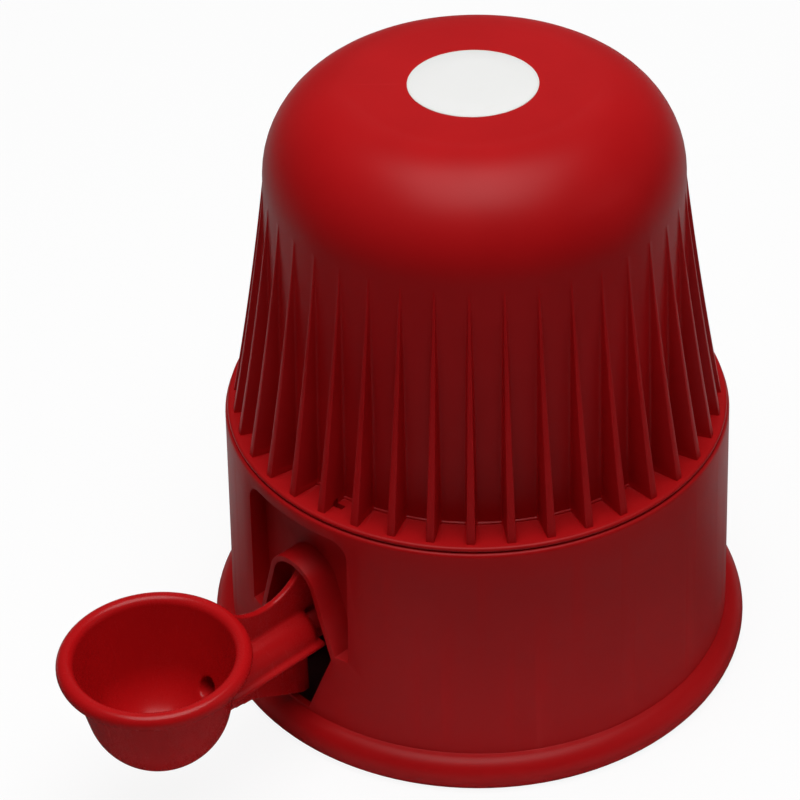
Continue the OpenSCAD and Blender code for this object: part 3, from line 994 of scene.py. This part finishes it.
    def slots(self) -> list[tuple[Matrix, Vector]]:
        """Size and place the boxes that cut the small slots beside the keys.

        Returns:
            Each box's frame and its full size.
        """
        size = Vector((self.slot_d, self.slot_w, 3 * self.flange_t)) * MM
        middle = Vector((self.key_r - self.slot_d / 2, 0, self.flange_z + self.flange_t / 2)) * MM
        return [(spot @ Matrix.Translation(middle), size) for spot in self.key_frames()]

    def build_keys(self) -> None:
        """Build the keys that drop into the base's notches."""
        size = Vector((self.key_t, self.key_w, self.key_len + self.key_sink)) * MM
        middle = Vector((self.key_r + self.key_t / 2, 0,
                         self.flange_z - self.key_len / 2 + self.key_sink / 2)) * MM
        piece = link("keys_raw", boxes((spot @ Matrix.Translation(middle), size)
                                       for spot in self.key_frames()))
        bevel = piece.modifiers.new("edge", "BEVEL")
        bevel.width, bevel.segments = self.key_edge * MM, self.key_edge_steps
        piece = flattened(piece, "tank_keys")
        smooth(piece.data)
        finish_piece(piece, Body.TANK, Slot.TANK, RED_TANK)

    def build_label(self) -> None:
        """Build the bare round label with its softly rounded edge."""
        z, t, r = self.crown_z, self.label_t, self.label_r
        section = [(0, z), (r, z), (r, z + t * 0.55), (r - 0.06, z + t * 0.85), (r - 0.18, z + t),
                   (r * 0.6, z + t), (0, z + t)]
        piece = link("label", turned(section, self.label_steps))
        smooth(piece.data)
        finish_piece(piece, Body.TANK, Slot.LABEL, LABEL_FILM, ["label_disc"])

    def build_floor(self) -> None:
        """Soften the floor plate with its neck and lugs."""
        soften("reservoir_floor", "tank_floor", self.floor_edge, Body.TANK, Slot.WELL, RED_WELL)

    def build(self) -> None:
        """Build every piece of the tank."""
        self.build_skin()
        self.build_keys()
        self.build_label()
        self.build_floor()


# ---- the base ----


@dataclass
class Base:
    """The round base with its pocket and arch, and the well inside it. Sizes in millimetres."""

    skirt_edge: float = 0.8
    well_edge: float = 0.4

    def build(self) -> None:
        """Build every piece of the base."""
        soften("base_skirt", "base_skirt_moulded", self.skirt_edge, Body.BASE, Slot.BASE, RED_BASE)
        soften("water_well", "water_well_moulded", self.well_edge, Body.BASE, Slot.WELL, RED_WELL)
        dress_node("well_screws", SCREW_STEEL)
        dress_node("outlet_seal", SEAL_RUBBER)


# ---- the cup ----


@dataclass
class Cup:
    """The drinking cup with its arm and webs, moulded in one. Sizes in millimetres."""

    voxel: float = 0.7
    ease: float = 0.5
    passes: int = 4
    crease: float = 180.0

    def build(self) -> None:
        """Melt the cup's solids into one soft moulding."""
        piece = link("cup_raw", copied("drinking_cup"))
        melt = piece.modifiers.new("melt", "REMESH")
        melt.mode, melt.voxel_size = "VOXEL", self.voxel * MM
        relax = piece.modifiers.new("relax", "SMOOTH")
        relax.factor, relax.iterations = self.ease, self.passes
        piece = flattened(piece, "cup_moulded")
        smooth(piece.data, self.crease)
        finish_piece(piece, Body.CUP, Slot.CUP, RED_CUP, ["drinking_cup"])


# ---- cap and valve ----


@dataclass
class Valve:
    """The bayonet cap and the valve in it. Sizes in millimetres."""

    cap_edge: float = 0.35
    guide_edge: float = 0.25
    stem_edge: float = 0.3
    disc_edge: float = 0.3

    def build(self) -> None:
        """Build and dress the cap's and the valve's pieces."""
        soften("valve_cap", "valve_cap_moulded", self.cap_edge, Body.CAP, Slot.WELL, RED_WELL)
        soften("valve_guide", "valve_guide_moulded", self.guide_edge, Body.CAP, Slot.VALVE,
               WHITE_VALVE)
        soften("valve_stem", "valve_stem_moulded", self.stem_edge, Body.VALVE, Slot.VALVE,
               WHITE_VALVE)
        soften("valve_disc", "valve_disc_moulded", self.disc_edge, Body.VALVE, Slot.SEAL,
               SEAL_RUBBER)
        dress_node("cap_gasket", SEAL_RUBBER)
        dress_node("disc_clip", SPRING_STEEL)
        dress_node("valve_spring", SPRING_STEEL)


# ---- the studio ----


@dataclass(frozen=True)
class Lamp:
    """A square soft lamp. Places and size in metres, power in watts."""

    name: str
    place: Point
    size: float
    power: float
    glint: bool = True
    aim: Point = (0.0, 0.0, 0.1)

    def hang(self) -> None:
        """Add the lamp, turn it to its aim, and say whether gloss shows it."""
        data = bpy.data.lights.new(self.name, "AREA")
        data.size, data.energy = self.size, self.power
        made = bpy.data.objects.new(self.name, data)
        made.location = self.place
        sight = Vector(self.aim) - Vector(self.place)
        made.rotation_euler = sight.to_track_quat("-Z", "Y").to_euler()
        made.visible_glossy = self.glint
        bpy.context.scene.collection.objects.link(made)


@dataclass(frozen=True)
class Studio:
    """A white floor and backdrop, soft lamps, and the camera.

    The camera's turn is in degrees, its place in millimetres and its other angles in radians.
    Gloss rays see a room that is dark in front of the object and light behind it.
    """

    turn: float = 45.5
    away: float = 896.99
    up: float = 784.89
    pitch: float = 0.6416
    yaw: float = -0.0357
    roll: float = -0.0327
    lens: float = 120.42
    sensor: float = 36.0
    sight: float = 50.0
    floor_size: float = 6.0
    floor_rough: float = 0.9
    floor_shown: float = 0.95
    floor_glow: float = 0.9
    floor_near: float = 1.0
    floor_far: float = 0.05
    near_to_far: Step = (0.2, 0.55)
    floor_front: float = 0.05
    floor_back: float = 0.6
    front_to_back: Step = (-0.02, 0.10)
    # painted shade: a dark red floor colour under the hollow base, where only the base's shadow
    # falls
    under_base_painted_shade: Colour = (0.10, 0.012, 0.010)
    foot: Step = (0.1112, 0.113)
    room: float = 0.03
    room_front: float = 0.03
    room_back: float = 0.11
    room_step: Step = (-0.2, 0.8)
    lamps: tuple[Lamp, ...] = (
        Lamp("overhead", (0.15, -0.13, 1.5), 1.1, 20.8),
        Lamp("front", (-0.35, -1.2, 0.9), 0.7, 0.9, glint=False, aim=(0.0, 0.0, 0.08)),
        Lamp("side", (1.3, 0.9, 0.7), 0.9, 2.2, glint=False),
        Lamp("behind", (-1.0, 1.0, 0.9), 0.9, 4.5, glint=False),
    )

    def camera(self) -> None:
        """Place the camera."""
        level = math.cos(self.pitch)
        look = Vector((math.sin(self.yaw) * level, math.cos(self.yaw) * level,
                       -math.sin(self.pitch)))
        right = Vector((math.cos(self.yaw), -math.sin(self.yaw), 0))
        above = right.cross(look)
        side = math.cos(self.roll) * right + math.sin(self.roll) * above
        over = -math.sin(self.roll) * right + math.cos(self.roll) * above
        pose = Matrix((side, over, -look)).transposed().to_4x4()
        pose.translation = Vector((0, -self.away, self.up)) * MM
        data = bpy.data.cameras.new("camera")
        data.lens, data.sensor_width, data.clip_end = self.lens, self.sensor, self.sight
        made = bpy.data.objects.new("camera", data)
        made.matrix_world = Matrix.Rotation(math.radians(self.turn), 4, "Z") @ pose
        bpy.context.scene.collection.objects.link(made)
        bpy.context.scene.camera = made

    @staticmethod
    def rays(g: Graph) -> tuple[Sock, Sock]:
        """Tell rays apart.

        Args:
            g: the graph of the floor or the world.

        Returns:
            Two masks: rays that look straight or through glass, and gloss rays.
        """
        path = g.node("ShaderNodeLightPath")
        straight, through, gloss = (Sock(g, path.outputs[name]) for name in (
            "Is Camera Ray", "Is Transmission Ray", "Is Glossy Ray"))
        return straight.most(through), gloss

    def behind(self, x: Sock, y: Sock) -> Sock:
        """Measure how far back in the room a place is."""
        a = math.radians(self.turn)
        return y * math.cos(a) - x * math.sin(a)

    def world(self) -> None:
        """Light the room evenly from above, and show the background white."""
        made = bpy.data.worlds.new("room")
        made.use_nodes = True
        bpy.context.scene.world = made
        g = Graph(made.node_tree)
        x, y, _ = g.axes(g.out("ShaderNodeTexCoord", output="Generated"))
        back = self.behind(x, y).ramp(*self.room_step)
        straight, gloss = self.rays(g)
        sheen = self.room_front + back * (self.room_back - self.room_front)
        strength = straight + (1 - straight) * (gloss * sheen + (1 - gloss) * self.room)
        g.feed(made.node_tree.nodes["Background"],
               {"Color": (1, 1, 1, 1), "Strength": strength})

    def floor(self) -> None:
        """Add the white floor.

        It keeps the object's shadow, gives light back near the object, and has a dark red painted
        shade under the hollow base.
        """
        half = self.floor_size / 2
        mesh = bpy.data.meshes.new("floor")
        mesh.from_pydata([(-half, -half, 0), (half, -half, 0), (half, half, 0), (-half, half, 0)],
                         [], [(0, 1, 2, 3)])
        piece = link("floor", mesh)
        material = bpy.data.materials.new("floor_white")
        material.use_nodes = True
        nodes = material.node_tree.nodes
        g = Graph(material.node_tree)
        x, y, _ = g.axes(g.out("ShaderNodeTexCoord", output="Object"))
        reach = (x * x + y * y) ** 0.5
        outside = reach.ramp(*self.foot)
        straight, gloss = self.rays(g)
        shown = straight * outside
        back = self.behind(x, y).ramp(*self.front_to_back)
        sheen = self.floor_front + back * (self.floor_back - self.floor_front)
        far = reach.ramp(*self.near_to_far)
        bounce = self.floor_near + far * (self.floor_far - self.floor_near)
        plain = gloss * sheen + (1 - gloss) * bounce
        tone = shown * self.floor_shown + (1 - shown) * plain
        grey = g.out("ShaderNodeCombineColor", None, {0: tone, 1: tone, 2: tone})
        shader = nodes["Principled BSDF"]
        # under the hollow base the floor takes the dark red painted shade
        g.feed(shader, {"Roughness": self.floor_rough,
                        "Base Color": g.mix(outside, self.under_base_painted_shade, grey)})
        glow = g.out("ShaderNodeEmission", None, {"Color": (1, 1, 1, 1), "Strength": 1.0})
        blend = g.out("ShaderNodeMixShader", None, {
            0: shown * self.floor_glow, 1: Sock(g, shader.outputs[0]), 2: glow})
        g.feed(nodes["Material Output"], {"Surface": blend})
        mesh.materials.append(material)

    def build(self) -> None:
        """Set up the camera, the room, the floor and the lamps."""
        self.camera()
        self.world()
        self.floor()
        for lamp in self.lamps:
            lamp.hang()
        bpy.context.scene.view_settings.view_transform = "Standard"


def main() -> None:
    """Build the studio and the pieces."""
    logging.basicConfig(level=logging.INFO, format="%(name)s: %(message)s")
    Studio().build()
    for part in (Tank(), Base(), Cup(), Valve()):
        part.build()
        LOG.info("%s done", type(part).__name__)


if __name__ == "__main__":
    main()
